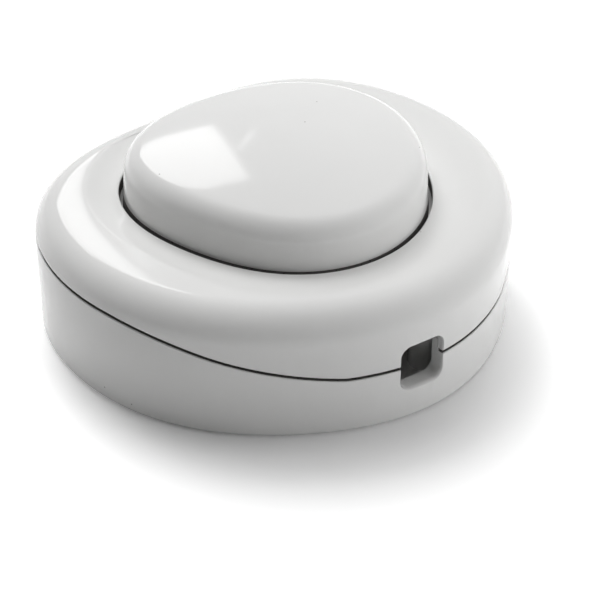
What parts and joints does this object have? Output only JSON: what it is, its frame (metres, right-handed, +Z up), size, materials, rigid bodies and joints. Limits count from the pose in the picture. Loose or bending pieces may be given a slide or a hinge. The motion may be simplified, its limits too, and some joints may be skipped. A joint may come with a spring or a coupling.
{
  "type": "foot switch",
  "caption": "Foot-operated cord switch: a low rounded-triangle housing with a domed push button in a dished top, a cord opening at each end and a ratchet switch inside.",
  "frame": {"origin": "centre of the housing's length and width, on the floor it stands on", "axes": "+Z up, +X along the housing's axis of symmetry, towards the front cord opening"},
  "size_m": [0.0622, 0.0684, 0.0271],
  "materials": {
    "white_plastic": "gloss",
    "grey_plastic": "satin",
    "dark_plastic": "satin",
    "spring_steel": "satin",
    "steel": "plated",
    "copper_alloy": "satin",
    "brass": "satin",
    "silver": "satin"
  },
  "bodies": {
    "housing": {"base_shell": "white_plastic", "top_cover": "white_plastic", "return_spring": "spring_steel", "rotor_axle": "steel", "switch_frame": "dark_plastic", "switch_lid": "dark_plastic", "index_spring": "spring_steel", "line_in_contact": "copper_alloy", "line_out_contact": "copper_alloy", "contact_rivets": "silver", "line_in_terminal": "brass", "line_out_terminal": "brass", "neutral_terminal": "brass", "terminal_screws": "steel", "front_cord_clamp": "white_plastic", "rear_cord_clamp": "white_plastic", "clamp_screws": "steel", "housing_screws": "steel"},
    "button": {"foot_button": "white_plastic", "plunger": "grey_plastic"},
    "rotor": {"rotor": "grey_plastic", "contact_bridge": "copper_alloy", "bridge_tips": "silver"}
  },
  "joints": [
    {"name": "button_press", "type": "slide", "parent": "housing", "child": "button", "axis": [0, 0, -1], "range_m": [0, 0.0035], "stiffness_N_per_m": 2200, "springref_m": -0.002, "deforming": ["return_spring"]},
    {"name": "rotor_turn", "type": "hinge", "parent": "housing", "child": "rotor", "pos_m": [-0.0019, 0, 0.009], "axis": [0, 0, 1], "range_deg": [0, 31]}
  ],
  "couplings": [
    {"joint": "rotor_turn", "follows": "button_press", "rad_per_m": 154.58}
  ]
}
